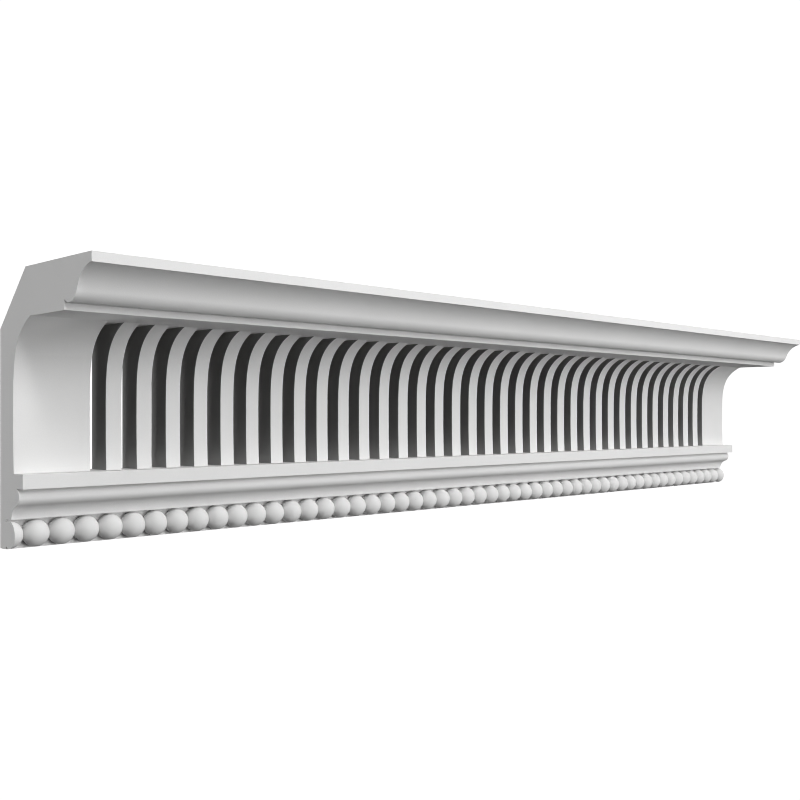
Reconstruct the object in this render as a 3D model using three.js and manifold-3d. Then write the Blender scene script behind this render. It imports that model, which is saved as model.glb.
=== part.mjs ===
// One length of slotted plaster cornice moulding, cast in one piece.
// Millimetres. X runs along the length, the face looks towards -Y and +Z is up.
// The origin is on the flat back, at mid length, where the length is fixed to the wall.

import * as THREE from 'three';
import { mergeGeometries, mergeVertices } from 'three/addons/utils/BufferGeometryUtils.js';
import Module from 'manifold-3d';

// The length and the block that its section fits in
const length = 1000;
const height = 190;
const projection = 128;
const backBevel = 39;
const originHeight = 26;

// Crown: a top fillet, a hollow that turns into a roll, and a lip over a flat soffit
const crownHeight = 33;
const topFillet = 6.5;
const crownStep = 2;
const crownHollowRadius = 23;
const crownRollRadius = 10;
const crownRollLift = 4.4;
const crownQuirk = 2.4;
const lipSetback = 34.6;

// Slotted wall: a round cove under the soffit, running down into a plain face
const wallThickness = 20;
const coveRadius = 40;
const coveSweep = THREE.MathUtils.degToRad(70);

// Slots right through the wall, from the soffit down to the ledge
const slotWidth = 12.5;
const ribWidth = 12.5;
const leastEndBlock = 56.25;

// Ledge: a square fillet under the wall
const ledgeTop = 52;
const ledgeThickness = 10;
const ledgeProjection = 35;

// Base: a small roll that turns into a hollow, over a recess that holds the beads
const recessTop = 20.6;
const footProjection = 17.6;
const baseHollowDepth = 11.7;
const baseHollowHeight = 10.6;
const baseHollowSweep = THREE.MathUtils.degToRad(70);
const baseQuirkAngle = THREE.MathUtils.degToRad(65);

// Beads: a row of balls set into the recess, a half one at each cut end
const coreThickness = 9;
const beadDiameter = 18.75;
const beadGap = 0.12;
const beadProjection = 13.5;
const beadLift = 10.2;

// Facets: sides of each arc in the section, and of each bead round and along the run
const arcPieces = 5;
const beadSides = 10;
const beadRings = 7;

const soffit = height - crownHeight;
const ledgeBottom = ledgeTop - ledgeThickness;
const wall = -wallThickness;
const lip = lipSetback - projection;

// The point at given distances from two others, on the right of the line from the first to the second.
function pointAtDistances(first, firstDistance, second, secondDistance) {
	const across = new THREE.Vector2().subVectors(second, first);
	const apart = across.length();
	const along = (firstDistance ** 2 - secondDistance ** 2 + apart ** 2) / (2 * apart);
	const aside = Math.sqrt(firstDistance ** 2 - along ** 2);
	across.normalize();
	const right = new THREE.Vector2(across.y, -across.x);
	return first.clone().addScaledVector(across, along).addScaledVector(right, aside);
}

// The crown's two arcs: the hollow starts behind the top fillet and meets the roll
// where both run the same way, and the roll curls up to the lip.
function drawCrown(outline) {
	const rollDrop = crownRollRadius - crownQuirk;
	const rollCentre = new THREE.Vector2(
		lip - Math.sqrt(crownRollRadius ** 2 - rollDrop ** 2),
		soffit + crownRollLift + crownRollRadius
	);
	const hollowStart = new THREE.Vector2(crownStep - projection, height - topFillet);
	const hollowCentre = pointAtDistances(
		hollowStart, crownHollowRadius, rollCentre, crownHollowRadius + crownRollRadius
	);
	const startAngle = hollowStart.clone().sub(hollowCentre).angle();
	const meetAngle = rollCentre.clone().sub(hollowCentre).angle();
	const quirkAngle = Math.atan2(-rollDrop, lip - rollCentre.x);
	outline.lineTo(-projection, height - topFillet);
	outline.lineTo(hollowStart.x, hollowStart.y);
	outline.absarc(hollowCentre.x, hollowCentre.y, crownHollowRadius, startAngle, meetAngle, true);
	outline.absarc(rollCentre.x, rollCentre.y, crownRollRadius, meetAngle - Math.PI, quirkAngle, false);
	outline.lineTo(lip, soffit);
}

// The cove: the part of a circle that ends upright on the wall's face.
function drawCove(outline) {
	const centreY = wall - coveRadius;
	const centreZ = soffit - coveRadius * Math.sin(coveSweep);
	outline.lineTo(centreY + coveRadius * Math.cos(coveSweep), soffit);
	outline.absarc(centreY, centreZ, coveRadius, coveSweep, 0, true);
	outline.lineTo(wall, ledgeTop);
}

// The base under the ledge: a roll and a hollow that meet where both run the same way.
// The roll takes up the height that the hollow leaves.
function drawBase(outline) {
	const centreY = -footProjection - baseHollowDepth;
	const meet = new THREE.Vector2(
		centreY + baseHollowDepth * Math.cos(baseHollowSweep),
		recessTop + baseHollowHeight * Math.sin(baseHollowSweep)
	);
	const inward = new THREE.Vector2(
		Math.cos(baseHollowSweep) / baseHollowDepth,
		Math.sin(baseHollowSweep) / baseHollowHeight
	).normalize();
	const rollRadius = (ledgeBottom - meet.y) / (inward.y + Math.sin(baseQuirkAngle));
	const rollCentre = meet.clone().addScaledVector(inward, rollRadius);
	const meetAngle = inward.angle() - Math.PI;
	const quirkAngle = -Math.PI - baseQuirkAngle;
	outline.lineTo(-ledgeProjection, ledgeTop);
	outline.lineTo(-ledgeProjection, ledgeBottom);
	outline.lineTo(rollCentre.x - rollRadius * Math.cos(baseQuirkAngle), ledgeBottom);
	outline.absarc(rollCentre.x, rollCentre.y, rollRadius, quirkAngle, meetAngle, false);
	outline.absellipse(centreY, recessTop, baseHollowDepth, baseHollowHeight, baseHollowSweep, 0, true);
	outline.lineTo(-coreThickness, recessTop);
	outline.lineTo(-coreThickness, 0);
}

// The whole section, seen from the right-hand end: distance from the back across, height up.
function sectionOutline() {
	const outline = new THREE.Shape();
	outline.moveTo(-backBevel, height);
	outline.lineTo(-projection, height);
	drawCrown(outline);
	drawCove(outline);
	drawBase(outline);
	outline.lineTo(0, 0);
	outline.lineTo(0, height - backBevel);
	outline.closePath();
	return outline;
}

// The plain run: the section carried along the length, centred on x = 0.
function plainRun() {
	const run = new THREE.ExtrudeGeometry(sectionOutline(), {
		depth: length, steps: 1, curveSegments: arcPieces, bevelEnabled: false
	});
	const acrossIsY = new THREE.Vector3(0, 1, 0);
	const upIsZ = new THREE.Vector3(0, 0, 1);
	const alongIsX = new THREE.Vector3(1, 0, 0);
	run.applyMatrix4(new THREE.Matrix4().makeBasis(acrossIsY, upIsZ, alongIsX));
	run.translate(-length / 2, 0, 0);
	return run;
}

// One cutter for each slot. They share the run out evenly, with a rib between each two
// and a block at each end.
function slotCutters() {
	const pitch = slotWidth + ribWidth;
	const count = Math.floor((length - 2 * leastEndBlock + ribWidth) / pitch + 0.001);
	const cutters = [];
	for (let i = 0; i < count; i++) {
		const cutter = new THREE.BoxGeometry(slotWidth, 2 * projection, soffit - ledgeTop);
		cutter.translate((i - (count - 1) / 2) * pitch, 0, (soffit + ledgeTop) / 2);
		cutters.push(cutter);
	}
	return mergeGeometries(cutters);
}

// The row of balls. Its pitch divides the length evenly, so a ball is cut in half at each end.
function beadRow() {
	const count = Math.round(length / (beadDiameter + beadGap));
	const pitch = length / count;
	const beads = [];
	for (let i = 0; i <= count; i++) {
		const bead = new THREE.SphereGeometry(beadDiameter / 2, beadSides, beadRings);
		bead.rotateZ(Math.PI / 2);
		bead.translate(i * pitch - length / 2, -beadProjection, beadLift);
		beads.push(bead);
	}
	return mergeGeometries(beads);
}

// The space between the two cut ends, past the section on every side.
function runSpace() {
	return new THREE.BoxGeometry(length, 3 * projection, 3 * height);
}

const wasm = await Module();
wasm.setup();

// A geometry as a solid, with its shared vertices merged.
function toSolid(geometry) {
	geometry.deleteAttribute('normal');
	geometry.deleteAttribute('uv');
	const merged = mergeVertices(geometry);
	return new wasm.Manifold(new wasm.Mesh({
		numProp: 3,
		vertProperties: new Float32Array(merged.attributes.position.array),
		triVerts: new Uint32Array(merged.index.array)
	}));
}

// A solid as a geometry again.
function toGeometry(solid) {
	const mesh = solid.getMesh();
	const geometry = new THREE.BufferGeometry();
	geometry.setAttribute('position', new THREE.BufferAttribute(mesh.vertProperties, mesh.numProp));
	geometry.setIndex(new THREE.BufferAttribute(mesh.triVerts, 1));
	geometry.computeVertexNormals();
	return geometry;
}

const plaster = new THREE.MeshStandardMaterial({
	color: 0xf2f1ed, roughness: 0.9, metalness: 0, flatShading: true
});

const beads = toSolid(beadRow()).intersect(toSolid(runSpace()));
const slotted = toSolid(plainRun()).subtract(toSolid(slotCutters()));
const moulding = new THREE.Mesh(toGeometry(slotted.add(beads)), plaster);
moulding.name = 'cornice_moulding';
moulding.position.z = -originHeight;

const part = new THREE.Group();
part.add(moulding);

export default part;
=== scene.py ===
from math import atan2, cos, degrees, radians, sin, sqrt

import bmesh
import bpy
import numpy as np
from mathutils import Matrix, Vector


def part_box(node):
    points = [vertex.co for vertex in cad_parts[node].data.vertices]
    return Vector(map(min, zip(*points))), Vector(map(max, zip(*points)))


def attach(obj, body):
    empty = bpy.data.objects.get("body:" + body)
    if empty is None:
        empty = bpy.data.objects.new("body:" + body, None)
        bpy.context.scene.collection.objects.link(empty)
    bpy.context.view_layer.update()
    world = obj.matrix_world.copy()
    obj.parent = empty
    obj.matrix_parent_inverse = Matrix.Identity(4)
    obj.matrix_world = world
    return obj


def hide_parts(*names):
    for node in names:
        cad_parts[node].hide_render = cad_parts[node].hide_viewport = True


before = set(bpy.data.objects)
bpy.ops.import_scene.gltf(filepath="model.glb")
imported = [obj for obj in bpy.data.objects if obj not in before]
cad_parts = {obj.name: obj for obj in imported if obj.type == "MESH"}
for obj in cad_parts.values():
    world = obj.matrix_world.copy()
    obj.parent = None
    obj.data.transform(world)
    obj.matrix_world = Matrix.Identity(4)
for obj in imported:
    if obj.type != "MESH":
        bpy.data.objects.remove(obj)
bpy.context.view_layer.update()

lowest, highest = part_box("cornice_moulding")
mm = 0.001
hair = 0.001                    # millimetres within which two places are the same

# The casting, in millimetres and degrees. Here y is 0 at the flat back and negative in front of it,
# and z is 0 at the lower edge.
casting = {
    "length": (highest.x - lowest.x) / mm,
    "height": (highest.z - lowest.z) / mm,
    "projection": (highest.y - lowest.y) / mm,
    "backBevel": 39,
    "crownHeight": 33,          # top to soffit
    "topFillet": 6.5,
    "crownStep": 2,
    "crownHollow": 23,          # radius of the crown's hollow
    "crownRoll": 10,            # radius of the roll under it
    "crownRollLift": 4.4,
    "crownQuirk": 2.4,
    "lipSetback": 34.6,
    "wall": 20.35,              # thickness of the slotted wall where it is thinnest
    "wallThinnest": 86.4,       # height of that place
    "wallSplay": 1.0,           # how far its face has come forward splayDrop lower down
    "splayDrop": 40,
    "coveDepth": 52,
    "coveHeight": 75.4,
    "coveBend": 4.4,            # 2 gives an ellipse, and more keeps the face upright for longer
    "slotWidth": 12.5,
    "ribWidth": 12.5,
    "slots": 36,
    "ledgeTop": 52,
    "ledgeThickness": 10,
    "ledgeProjection": 35,
    "recessTop": 20.6,
    "footProjection": 17.6,
    "baseHollowDepth": 11.7,
    "baseHollowHeight": 10.6,
    "baseHollowSweep": 70,      # the part of its ellipse that is used
    "baseHollowEnd": 2,         # where it stops short of upright, for the rounded corner below
    "baseQuirkAngle": 65,
    "core": 9,                  # thickness behind the beads
    "beads": 53,                # whole ones in the length, with a half one at each end
    "beadRadius": 9.4,
    "beadProjection": 13.5,
    "beadLift": 10.2,
    "arris": 0.25,              # radius that the cast edges are rounded to
    "arrisPieces": 3,
    "crownHollowPieces": 20,
    "crownRollPieces": 24,
    "baseRollPieces": 14,
    "baseHollowPieces": 16,
    "wallRows": 20,
    "coveRows": 26,
    "coveRowsCrowd": 1.8,       # above 1 the rows crowd towards the soffit, where the cove bends
    "beadSides": 40,            # a multiple of 8
    "beadRings": 17,
    "weld": 0.002,              # points nearer than this become one
    "sharpAngle": 14,
}


# The mesh as it grows: points in millimetres, and faces with any number of sides.
class Shell:
    def __init__(self):
        self.points = []
        self.faces = []
        self.count = 0

    # Adds points and the faces that join them, numbered from 0.
    def add(self, points, faces):
        self.points.append(np.asarray(points, float).reshape(-1, 3))
        self.faces.extend((np.asarray(face) + self.count).tolist() for face in faces)
        self.count += len(self.points[-1])

    # A grid of points, each four neighbours joined by a face. Grids come alone or in a stack.
    def addGrid(self, grid):
        grid = np.asarray(grid, float)
        stack = grid.reshape(-1, *grid.shape[-3:])
        number = np.arange(stack[..., 0].size).reshape(stack.shape[:3])
        near, far = number[:, :-1], number[:, 1:]
        quads = np.stack([near[..., :-1], far[..., :-1], far[..., 1:], near[..., 1:]], -1)
        self.points.append(stack.reshape(-1, 3))
        self.faces.extend((quads.reshape(-1, 4) + self.count).tolist())
        self.count += number.size

    # One flat face with these corners in turn.
    def addPlate(self, *corners):
        corners = np.concatenate([np.asarray(part, float).reshape(-1, 3) for part in corners])
        self.add(corners, [np.arange(len(corners))])


# Points on an ellipse: centre + (cosine, sine) x radii, with the angle going evenly from start to end.
def sweep(centre, radii, start, end, pieces):
    angle = np.radians(np.linspace(start, end, pieces + 1))
    return np.asarray(centre) + np.stack([np.cos(angle), np.sin(angle)], -1) * radii


# A corner rounded by a circle that touches both of its legs. The centre lies on the line that
# halves the corner, radius / sine(half the corner) away. The points go evenly round from the place
# where it touches the first leg to the place where it touches the last.
def roundCorner(before, corner, after, radius, pieces):
    before, corner, after = (np.asarray(point, float) for point in (before, corner, after))
    legIn = (before - corner) / np.linalg.norm(before - corner)
    legOut = (after - corner) / np.linalg.norm(after - corner)
    half = np.arccos(np.clip(legIn @ legOut, -1, 1)) / 2
    middle = (legIn + legOut) / np.linalg.norm(legIn + legOut)
    centre = corner + middle * radius / np.sin(half)
    first = corner + legIn * radius / np.tan(half) - centre
    last = corner + legOut * radius / np.tan(half) - centre
    turn = np.linspace(0, 1, pieces + 1)[:, None]
    whole = np.pi - 2 * half
    return centre + (first * np.sin((1 - turn) * whole) + last * np.sin(turn * whole)) / np.sin(whole)


# The point at given distances from two others. Along the line between them it lies at
# (first distance squared - second distance squared + apart squared) / (2 x apart), and it stands off
# to the right of that line by the root of what the first distance leaves over.
def pointAtDistances(first, firstDistance, second, secondDistance):
    across = second - first
    apart = np.linalg.norm(across)
    along = (firstDistance ** 2 - secondDistance ** 2 + apart ** 2) / (2 * apart)
    aside = sqrt(firstDistance ** 2 - along ** 2)
    across = across / apart
    return first + across * along + np.array([across[1], -across[0]]) * aside


# The direction of a vector (across, up): the angle whose tangent is up / across, from 0 to 360 degrees.
def angleOf(vector):
    return degrees(atan2(vector[1], vector[0])) % 360


soffit = casting["height"] - casting["crownHeight"]
lip = casting["lipSetback"] - casting["projection"]
ledgeBottom = casting["ledgeTop"] - casting["ledgeThickness"]
bevelFoot = casting["height"] - casting["backBevel"]


# The crown's line, from the bevel above the slots over the top and the front to the lip's lower edge:
# two circles that meet where both run the same way, with straight stretches before and after.
def crownLine():
    c = casting
    front, top = -c["projection"], c["height"]
    rollDrop = c["crownRoll"] - c["crownQuirk"]
    rollBack = sqrt(c["crownRoll"] ** 2 - rollDrop ** 2)
    rollCentre = np.array([lip - rollBack, soffit + c["crownRollLift"] + c["crownRoll"]])
    hollowStart = np.array([front + c["crownStep"], top - c["topFillet"]])
    bothRadii = c["crownHollow"] + c["crownRoll"]
    hollowCentre = pointAtDistances(hollowStart, c["crownHollow"], rollCentre, bothRadii)
    meet = angleOf(rollCentre - hollowCentre)
    quirk = angleOf([lip - rollCentre[0], -rollDrop])
    start = angleOf(hollowStart - hollowCentre)
    hollow = sweep(hollowCentre, c["crownHollow"], start, meet, c["crownHollowPieces"])
    roll = sweep(rollCentre, c["crownRoll"], meet + 180, quirk, c["crownRollPieces"])
    arris = c["arris"], c["arrisPieces"]
    return np.concatenate([
        [(bevelFoot - soffit, soffit), (-c["backBevel"], top)],
        roundCorner((0, top), (front, top), (front, 0), *arris),
        roundCorner((front, top), (front, hollowStart[1]), hollowStart, *arris),
        hollow,
        roll[1:],
        roundCorner((lip, top), (lip, soffit), (0, soffit), *arris),
    ])


# The line of the ledge and the base, from the ledge's top edge down to the recess: a circle for the
# roll and an ellipse for the hollow, which meet where both run the same way. The roll's radius is the
# height left over the meeting / (the inward direction's rise there + sine(quirk angle)).
def baseLine():
    c = casting
    centre = np.array([-c["footProjection"] - c["baseHollowDepth"], c["recessTop"]])
    axes = np.array([c["baseHollowDepth"], c["baseHollowHeight"]])
    unit = np.array([cos(radians(c["baseHollowSweep"])), sin(radians(c["baseHollowSweep"]))])
    meet = centre + axes * unit
    inward = unit / axes
    inward = inward / np.linalg.norm(inward)
    rollRadius = (ledgeBottom - meet[1]) / (inward[1] + sin(radians(c["baseQuirkAngle"])))
    rollCentre = meet + inward * rollRadius
    front, foot = -c["ledgeProjection"], -c["footProjection"]
    rollStart, rollEnd = 180 - c["baseQuirkAngle"], angleOf(inward) + 180
    arris = c["arris"], c["arrisPieces"]
    return np.concatenate([
        roundCorner((0, c["ledgeTop"]), (front, c["ledgeTop"]), (front, 0), *arris),
        roundCorner((front, c["ledgeTop"]), (front, ledgeBottom), (0, ledgeBottom), *arris),
        sweep(rollCentre, rollRadius, rollStart, rollEnd, c["baseRollPieces"]),
        sweep(centre, axes, c["baseHollowSweep"], c["baseHollowEnd"], c["baseHollowPieces"])[1:],
        roundCorner((foot, ledgeBottom), (foot, c["recessTop"]), (0, c["recessTop"]), *arris),
    ])


# The wall's face and the cove over it. Above the thinnest place it comes forward by
# depth x (1 - root of (1 - rise to the power of bend)), with rise as a share of the cove's height,
# and below it by splay x (drop / splay drop) squared.
def wallLine(z):
    c = casting
    rise = np.clip((z - c["wallThinnest"]) / c["coveHeight"], 0, 1)
    drop = np.clip((c["wallThinnest"] - z) / c["splayDrop"], 0, None)
    cove = c["coveDepth"] * (1 - np.sqrt(1 - rise ** c["coveBend"]))
    return -c["wall"] - cove - c["wallSplay"] * drop ** 2


# A line (y, z) carried along the length: at each station the points (station, y, z).
def carry(line, stations):
    y, x = np.meshgrid(line[:, 0], stations, indexing="ij")
    z = np.repeat(line[:, 1:], len(stations), 1)
    return np.stack([x, y, z], -1)


# The points (x, y, z) with x at each station from start to end, and with the same y and z.
def edge(stations, start, end, y, z):
    x = stations[(stations > start - hair) & (stations < end + hair)]
    return np.stack([x, np.full(len(x), y), np.full(len(x), z)], -1)


# The posts between the slots, an end block counting as one: at each height a loop from the rear left
# round the two front corners to the rear right. The front follows the wall's line and the rear the
# back and its bevel. A front corner is a quarter circle, edge + radius x (1 - cosine, 1 - sine), but
# the outer corner of an end block is cut square.
def postLoops(lefts, rights, heights):
    c = casting
    quarter = np.radians(np.linspace(0, 90, c["arrisPieces"] + 1))
    squareLeft = np.isclose(lefts, lefts[0])[:, None, None]
    squareRight = np.isclose(rights, rights[-1])[:, None, None]
    radiusLeft = np.where(squareLeft, 0, c["arris"])
    radiusRight = np.where(squareRight, 0, c["arris"])
    left, right = lefts[:, None, None], rights[:, None, None]
    front = wallLine(heights)[None, :, None]
    rear = -np.maximum(heights - bevelFoot, 0)[None, :, None]
    one = np.ones((len(lefts), len(heights), 1))
    x = np.concatenate([
        left * one,
        (left + radiusLeft * (1 - np.cos(quarter))) * one,
        (right - radiusRight * (1 - np.cos(quarter[::-1]))) * one,
        right * one,
    ], 2)
    y = np.concatenate([
        rear * one,
        (front + radiusLeft * (1 - np.sin(quarter))) * one,
        (front + radiusRight * (1 - np.sin(quarter[::-1]))) * one,
        rear * one,
    ], 2)
    z = heights[None, :, None] * np.ones_like(x)
    return np.stack([x, y, z], -1)


# One cap of each ball, from its foremost point to the recess: ring by ring,
# centre + radius x (sine(polar) cosine(turn), -cosine(polar), sine(polar) sine(turn)).
# The last ring lies on the core, where cosine(polar) = (core - projection) / radius.
def beadCaps(centres, fromAngle, toAngle, sides):
    c = casting
    reach = degrees(np.pi - np.arccos((c["beadProjection"] - c["core"]) / c["beadRadius"]))
    polar = np.radians(np.linspace(0, reach, c["beadRings"] + 1))[:, None]
    turn = np.radians(np.linspace(fromAngle, toAngle, sides + 1))[None, :]
    x = c["beadRadius"] * np.sin(polar) * np.cos(turn) + centres[:, None, None]
    y = -c["beadRadius"] * np.cos(polar) - c["beadProjection"]
    z = c["beadRadius"] * np.sin(polar) * np.sin(turn) + c["beadLift"]
    return np.stack(np.broadcast_arrays(x, y, z), -1)


# The whole skin but for the two cut ends, in parts whose rims meet point for point. The middle of a
# slot is (its number - half the last number) x pitch. The pitch of the beads is length / beads.
def buildShell():
    c = casting
    shell = Shell()
    half = c["length"] / 2
    slotPitch = c["slotWidth"] + c["ribWidth"]
    slotMiddle = (np.arange(c["slots"]) - (c["slots"] - 1) / 2) * slotPitch
    slotLeft, slotRight = slotMiddle - c["slotWidth"] / 2, slotMiddle + c["slotWidth"] / 2
    lefts, rights = np.append(-half, slotRight), np.append(slotLeft, half)
    slotStations = np.sort(np.concatenate([lefts, rights]))
    beadPitch = c["length"] / c["beads"]
    beadStations = np.concatenate([[-half], -half + (np.arange(c["beads"]) + 0.5) * beadPitch, [half]])
    stations = np.union1d(slotStations, beadStations)

    # crown, ledge and base
    crown, base = crownLine(), baseLine()
    shell.addGrid(carry(crown, slotStations))
    shell.addGrid(carry(base, stations))

    # posts, and the back below them. Rows lie evenly below the thinnest place, and above it at
    # soffit - (soffit - thinnest) x share to the power of crowd, rounded so that equal ones are one.
    evenly = np.linspace(c["ledgeTop"], soffit, c["wallRows"])
    evenly = evenly[evenly < c["wallThinnest"]]
    crowded = np.linspace(0, 1, c["coveRows"]) ** c["coveRowsCrowd"]
    crowded = soffit - (soffit - c["wallThinnest"]) * crowded
    heights = np.union1d(np.concatenate([evenly, crowded]).round(6), [bevelFoot])
    loops = postLoops(lefts, rights, heights)
    shell.addGrid(loops)
    shell.addGrid(np.stack([loops[:, 1:, -1], loops[:, 1:, 0]], 2))
    shell.addGrid(carry(np.array([(0, 0), (0, c["ledgeTop"])]), stations))

    # soffit, ledge top and post backs, post by post
    ledgeFront, lipBack = base[0][0], crown[-1][0]
    for left, right, loop in zip(lefts, rights, loops):
        foot, head = loop[0], loop[-1]
        shell.addPlate(edge(stations, left, right, ledgeFront, c["ledgeTop"]), foot[-2:0:-1])
        shell.addPlate([(left, lipBack, soffit), (right, lipBack, soffit)], head[-2:0:-1])
        shell.addPlate(edge(stations, left, right, 0, c["ledgeTop"]), [loop[1][-1], loop[1][0]])

    # the same between the posts: the floor and the ceiling of each slot
    for left, right, loop, following in zip(slotLeft, slotRight, loops[:-1], loops[1:]):
        shell.addPlate(
            edge(stations, left, right, ledgeFront, c["ledgeTop"]), following[0][1],
            edge(stations, left, right, 0, c["ledgeTop"])[::-1], loop[0][-2],
        )
        shell.addPlate(
            [(left, lipBack, soffit), (right, lipBack, soffit)], following[-1][1],
            following[-1][0], loop[-1][-1], loop[-1][-2],
        )

    # beads, and the plane behind them. Angles start at +X and turn up towards +Z.
    sides = c["beadSides"]
    middles = -half + np.arange(1, c["beads"]) * beadPitch
    balls = beadCaps(middles, -45, 315, sides)
    firstHalf = beadCaps(np.array([-half]), -90, 90, sides // 2)
    lastHalf = beadCaps(np.array([half]), 90, 270, sides // 2)
    for caps in (balls, firstHalf, lastHalf):
        shell.addGrid(caps)
    behind, quarter = -c["core"], sides // 4
    low, high = 0, c["recessTop"]
    for middle, ball in zip(middles, balls):
        left, right = middle - beadPitch / 2, middle + beadPitch / 2
        corners = [(right, behind, low), (right, behind, high), (left, behind, high), (left, behind, low)]
        for side in range(4):
            rim = ball[-1][side * quarter:(side + 1) * quarter + 1]
            shell.addPlate([corners[side], corners[(side + 1) % 4]], rim[::-1])
    for rim, sign in ((firstHalf[0][-1], 1), (lastHalf[0][-1][::-1], -1)):
        end, inner = -half * sign, (-half + beadPitch / 2) * sign
        eighth = sides // 8
        shell.addPlate([(end, behind, low), (inner, behind, low)], rim[:eighth + 1][::-1])
        shell.addPlate([(inner, behind, low), (inner, behind, high)], rim[eighth:-eighth][::-1])
        shell.addPlate([(inner, behind, high), (end, behind, high)], rim[-eighth - 1:][::-1])
    recessFront = base[-1][0]
    for left, right in zip(beadStations[:-1], beadStations[1:]):
        for front, level in ((recessFront, high), (0, low)):
            rear = [(right, behind, level), (left, behind, level)]
            shell.addPlate(edge(stations, left, right, front, level), rear)
    return shell


# Welds the shell's parts, closes the cut ends and turns every face outwards.
def buildCasting():
    shell = buildShell()
    points = np.concatenate(shell.points) * mm + np.array([0, highest.y, lowest.z])
    mesh = bpy.data.meshes.new("corniceCasting")
    mesh.from_pydata(points.astype(np.float32), [], shell.faces)
    work = bmesh.new()
    work.from_mesh(mesh)
    bmesh.ops.remove_doubles(work, verts=work.verts, dist=casting["weld"] * mm)
    openEdges = [e for e in work.edges if e.is_boundary]
    filled = bmesh.ops.holes_fill(work, edges=openEdges, sides=0)["faces"]
    bmesh.ops.recalc_face_normals(work, faces=work.faces)
    stray = [e for e in work.edges if not e.is_manifold]
    work.to_mesh(mesh)
    work.free()
    mesh.shade_smooth()
    mesh.set_sharp_from_angle(angle=radians(casting["sharpAngle"]))
    print("cornice casting:", len(mesh.polygons), "faces, of them", len(filled), "in the cut ends")
    print("open edges left:", len(stray))
    return mesh


mesh = buildCasting()
piece = bpy.data.objects.new("corniceCasting", mesh)
bpy.context.scene.collection.objects.link(piece)
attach(piece, "root")
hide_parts("cornice_moulding")


# Its finish: millimetres for depths, and counts per metre for how fine a pattern is.
# A tone of 0 gives the shaded colour, and a tone of 1 the light one.
plaster = {
    "light": (0.82, 0.819, 0.815, 1),
    "shaded": (0.775, 0.774, 0.77, 1),
    "tone": 0.5,                # where no pattern shifts it
    # The colour of the painted shade on the side walls of the slots, and how it is laid on:
    "paintedSlotShade": (0.35, 0.349, 0.347, 1),    # on the side walls of the slots
    "paintedShadeAtLedge": 0.8,         # as a share of what lies higher up: less painted shade near the ledge, a painted glow of light thrown up off it
    "paintedShadeRise": 20,             # height above the ledge from which on all of the painted shade lies
    "paintedShadeFacing": (0.5, 0.95),  # how squarely a face looks along the length, for no painted shade and for all
    "roughness": 0.9,
    "shine": 0.25,              # specular level
    "clouds": 15,
    "cloudDetail": 3,
    "cloudDepth": 0.12,
    "cloudTone": 1.5,
    "cloudRoughness": 0.04,
    "fineDetail": 2,            # of grain, trowel marks and saw marks
    "grains": 1300,
    "grainDepth": 0.03,
    "grainTone": 0.8,
    "airHoleCells": 120,
    "airHoleShare": 0.07,       # of the cells that have one
    "airHoleSize": 0.045,       # radius as a share of a cell
    "airHoleFloor": 0.6,        # how far its flat floor reaches, as a share of its radius
    "airHoleDepth": 0.35,
    "trowelMarks": 110,         # on the back, the bevel and the top, which are struck off by hand
    "trowelDepth": 0.6,
    "trowelStretch": (0.1, 1, 1),       # the smaller, the longer the marks run along that axis
    "trowelRoughness": 0.05,
    "sawMarks": 700,            # on the two cut ends
    "sawDepth": 0.04,
    "sawStretch": (0.02, 0.02, 1),
    "skin": 0.2,                # how far a struck or sawn face reaches in
}


# An output in the node tree. Sums on it add Math nodes: > gives 1 or 0, and | the larger of two.
class Wire:
    def __init__(self, graph, socket):
        self.graph = graph
        self.socket = socket

    # A Math node on two wires or numbers.
    def maths(self, operation, first, second):
        return self.graph.add("ShaderNodeMath", {"operation": operation}, {0: first, 1: second}, 0)

    def __add__(self, other):
        return self.maths("ADD", self, other)

    def __sub__(self, other):
        return self.maths("SUBTRACT", self, other)

    def __rsub__(self, other):
        return self.maths("SUBTRACT", other, self)

    def __mul__(self, other):
        return self.maths("MULTIPLY", self, other)

    def __gt__(self, other):
        return self.maths("GREATER_THAN", self, other)

    def __or__(self, other):
        return self.maths("MAXIMUM", self, other)

    def __abs__(self):
        return self.maths("ABSOLUTE", self, 0.0)

    __radd__ = __add__
    __rmul__ = __mul__


# A node tree and the ways to add to it.
class Graph:
    def __init__(self, tree):
        self.tree = tree

    # One node: its type, its settings, the values or wires of its inputs, and the output that is wanted.
    def add(self, kind, settings, inputs, output):
        node = self.tree.nodes.new(kind)
        for name, value in settings.items():
            setattr(node, name, value)
        self.fill(node, inputs)
        return Wire(self, node.outputs[output])

    # Links each wire to the node's input of that name, and sets each plain value on it.
    def fill(self, node, inputs):
        for name, value in inputs.items():
            if isinstance(value, Wire):
                self.tree.links.new(value.socket, node.inputs[name])
            else:
                node.inputs[name].default_value = value

    # 0 below start, 1 above end, and a smooth slope between.
    def ramp(self, value, start, end):
        inputs = {"Value": value, "From Min": start, "From Max": end}
        return self.add("ShaderNodeMapRange", {"interpolation_type": "SMOOTHSTEP"}, inputs, 0)

    # Noise from about -0.5 to 0.5.
    def noise(self, place, scale, detail):
        inputs = {"Vector": place, "Scale": scale, "Detail": detail}
        return self.add("ShaderNodeTexNoise", {}, inputs, 0) - 0.5

    # The colour that goes from the first to the second as the share goes from 0 to 1.
    def mix(self, share, first, second):
        settings = {"data_type": "RGBA", "clamp_factor": True}
        return self.add("ShaderNodeMix", settings, {0: share, 6: first, 7: second}, 2)
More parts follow.
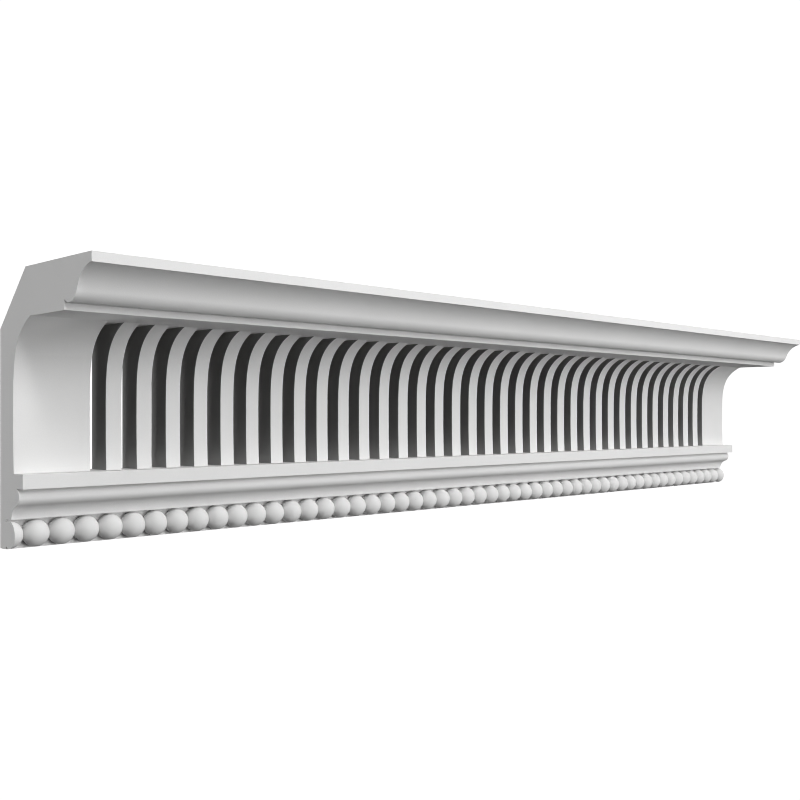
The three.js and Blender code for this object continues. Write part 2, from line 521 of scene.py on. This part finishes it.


# Cast gypsum: faint clouds and grain all over, here and there the hole of an air bubble with painted
# shade in it, trowel marks where it was struck off, saw marks on the cut ends, and painted shade on the
# side walls of the slots.
def makePlaster():
    p = plaster
    material = bpy.data.materials.new("castPlaster")
    material.use_nodes = True
    graph = Graph(material.node_tree)
    place = graph.add("ShaderNodeTexCoord", {}, {}, "Object")
    x, y, z = (graph.add("ShaderNodeSeparateXYZ", {}, {0: place}, axis) for axis in range(3))

    clouds = graph.noise(place, p["clouds"], p["cloudDetail"])
    grain = graph.noise(place, p["grains"], p["fineDetail"])
    cells = {"Vector": place, "Scale": p["airHoleCells"]}
    toCentre = graph.add("ShaderNodeTexVoronoi", {}, cells, "Distance")
    cellColour = graph.add("ShaderNodeTexVoronoi", {}, cells, "Color")
    lot = graph.add("ShaderNodeSeparateColor", {}, {0: cellColour}, 0)
    hollow = 1 - graph.ramp(toCentre, p["airHoleSize"] * p["airHoleFloor"], p["airHoleSize"])
    airHole = (lot > 1 - p["airHoleShare"]) * hollow

    # where the surface was struck off, and where it was sawn
    skin = p["skin"] * mm
    bevel = highest.y + lowest.z + bevelFoot * mm       # y + z all over the bevel
    struck = (y > highest.y - skin) | (z > highest.z - skin) | (y + z > bevel - skin)
    sawn = abs(x) > highest.x - skin
    trowelPlace = graph.add("ShaderNodeMapping", {}, {"Vector": place, "Scale": p["trowelStretch"]}, 0)
    trowel = struck * graph.noise(trowelPlace, p["trowelMarks"], p["fineDetail"])
    sawPlace = graph.add("ShaderNodeMapping", {}, {"Vector": place, "Scale": p["sawStretch"]}, 0)
    saw = sawn * graph.noise(sawPlace, p["sawMarks"], p["fineDetail"])

    # painted shade on the side walls of the slots, told by the way they face, fainter near the ledge
    # where light thrown up off it is painted in
    facing = graph.add("ShaderNodeTexCoord", {}, {}, "Normal")
    facing = abs(graph.add("ShaderNodeSeparateXYZ", {}, {0: facing}, 0))
    slotWall = graph.ramp(facing, *p["paintedShadeFacing"]) * (1 - sawn)
    ledge = lowest.z + casting["ledgeTop"] * mm
    rise = graph.ramp(z, ledge, ledge + p["paintedShadeRise"] * mm)
    paintedSlotShade = slotWall * (z > ledge) * (p["paintedShadeAtLedge"] + (1 - p["paintedShadeAtLedge"]) * rise)

    height = (clouds * p["cloudDepth"] + grain * p["grainDepth"] - airHole * p["airHoleDepth"]
              + trowel * p["trowelDepth"] + saw * p["sawDepth"])
    # inside an air hole the tone drops towards the shaded colour: painted shade in the hole
    tone = p["tone"] + clouds * p["cloudTone"] + grain * p["grainTone"] + trowel - airHole
    # the side walls of the slots are mixed towards a dark colour: painted shade
    colour = graph.mix(paintedSlotShade, graph.mix(tone, p["shaded"], p["light"]), p["paintedSlotShade"])
    roughness = p["roughness"] + clouds * p["cloudRoughness"] + struck * p["trowelRoughness"]
    bump = graph.add("ShaderNodeBump", {}, {"Strength": 1.0, "Distance": mm, "Height": height}, 0)
    shader = material.node_tree.nodes["Principled BSDF"]
    shader.inputs["Specular IOR Level"].default_value = p["shine"]
    graph.fill(shader, {"Base Color": colour, "Roughness": roughness, "Normal": bump})
    return material


mesh.materials.append(makePlaster())
print("plaster finish on", piece.name)


# The camera stands level, in front of the casting's left end.
camera = {
    "place": (-0.7944, -0.6783, 0.06465),
    "turn": -44.41,             # degrees from the +Y axis, to the right
    "lens": 45.1,
    "sensor": 36,
    "shift": (0.020, 0.02075),
}
cameraData = bpy.data.cameras.new("camera")
cameraData.lens = camera["lens"]
cameraData.sensor_width = camera["sensor"]
cameraData.shift_x, cameraData.shift_y = camera["shift"]
cameraObject = bpy.data.objects.new("camera", cameraData)
cameraObject.location = camera["place"]
cameraObject.rotation_euler = (radians(90), 0, radians(camera["turn"]))
bpy.context.scene.collection.objects.link(cameraObject)
bpy.context.scene.camera = cameraObject
print("camera at", camera["place"])


# Each lamp is a round soft box that faces the casting: degrees round from the front, to the right,
# degrees up, metres across, and watts.
studio = {
    "middle": (0, -0.06, 0.07),
    "reach": 2.4,
    "lamps": {
        "front": (0, 0, 0.4, 11.1),
        "frontRight": (25, 0, 1.2, 14.2),
        "frontUp": (0, 25, 1.2, 21.1),
        "frontRightUp": (30, 25, 1.2, 3.8),
        "frontLeftUp": (-30, 40, 0.4, 7.8),
        "frontLeftHigh": (-45, 50, 1.2, 10.4),
        "left": (-100, 0, 1.2, 11.4),
        "leftUp": (-90, 25, 1.2, 2.3),
        "leftTop": (-90, 75, 1.2, 6.0),
        "behindLow": (-116, -46, 0.3, 5.2),
        "rightLow": (45, -45, 1.2, 3.5),
        "rightUp": (90, 25, 1.2, 12.0),
        "back": (173, 5, 0.6, 18.0),
    },
    "floor": -2.6,              # a room's height below
    "floorReach": 8,
    "white": (1, 1, 1, 1),
    "paper": 1.05,              # how bright the paper shows, and 1 is white
    "pixelFilter": 1.0,         # narrower than usual, for crisp edges
}


# The lamp stands at middle + reach x (sine(turn) cosine(rise), -cosine(turn) cosine(rise), sine(rise)).
def addLamp(name, azimuth, elevation, size, watts):
    lamp = bpy.data.lights.new(name, "AREA")
    lamp.shape = "DISK"
    lamp.size = size
    lamp.energy = watts
    holder = bpy.data.objects.new(name, lamp)
    turn, rise = radians(azimuth), radians(elevation)
    outward = Vector((sin(turn) * cos(rise), -cos(turn) * cos(rise), sin(rise)))
    holder.location = Vector(studio["middle"]) + outward * studio["reach"]
    holder.rotation_mode = "QUATERNION"
    holder.rotation_quaternion = outward.to_track_quat("Z", "Y")
    bpy.context.scene.collection.objects.link(holder)


# A floor of white paper, which throws no light back on the casting.
def addPaper():
    paper = bpy.data.materials.new("whitePaper")
    paper.use_nodes = True
    shader = paper.node_tree.nodes["Principled BSDF"]
    shader.inputs["Emission Color"].default_value = studio["white"]
    shader.inputs["Emission Strength"].default_value = studio["paper"]
    shader.inputs["Base Color"].default_value = (0, 0, 0, 1)        # gives back none of the lamps' light
    shader.inputs["Specular IOR Level"].default_value = 0.0
    sheet = bpy.data.meshes.new("floor")
    reach, level = studio["floorReach"], studio["floor"]
    front = [(-reach, -reach, level), (reach, -reach, level)]
    rear = [(reach, reach, level), (-reach, reach, level)]
    sheet.from_pydata(front + rear, [], [(0, 1, 2, 3)])
    sheet.materials.append(paper)
    floor = bpy.data.objects.new("floor", sheet)
    floor.visible_diffuse = floor.visible_glossy = floor.visible_shadow = False
    bpy.context.scene.collection.objects.link(floor)


# The paper all round, which only the camera sees.
def addSurround():
    world = bpy.data.worlds.new("surround")
    world.use_nodes = True
    graph = Graph(world.node_tree)
    seen = graph.add("ShaderNodeLightPath", {}, {}, "Is Camera Ray")
    background = world.node_tree.nodes["Background"]
    graph.fill(background, {"Color": studio["white"], "Strength": seen * studio["paper"]})
    bpy.context.scene.world = world


for name, lamp in studio["lamps"].items():
    addLamp(name, *lamp)
addPaper()
addSurround()
bpy.context.scene.view_settings.view_transform = "Standard"
bpy.context.scene.cycles.filter_width = studio["pixelFilter"]
print("studio:", len(studio["lamps"]), "lamps")
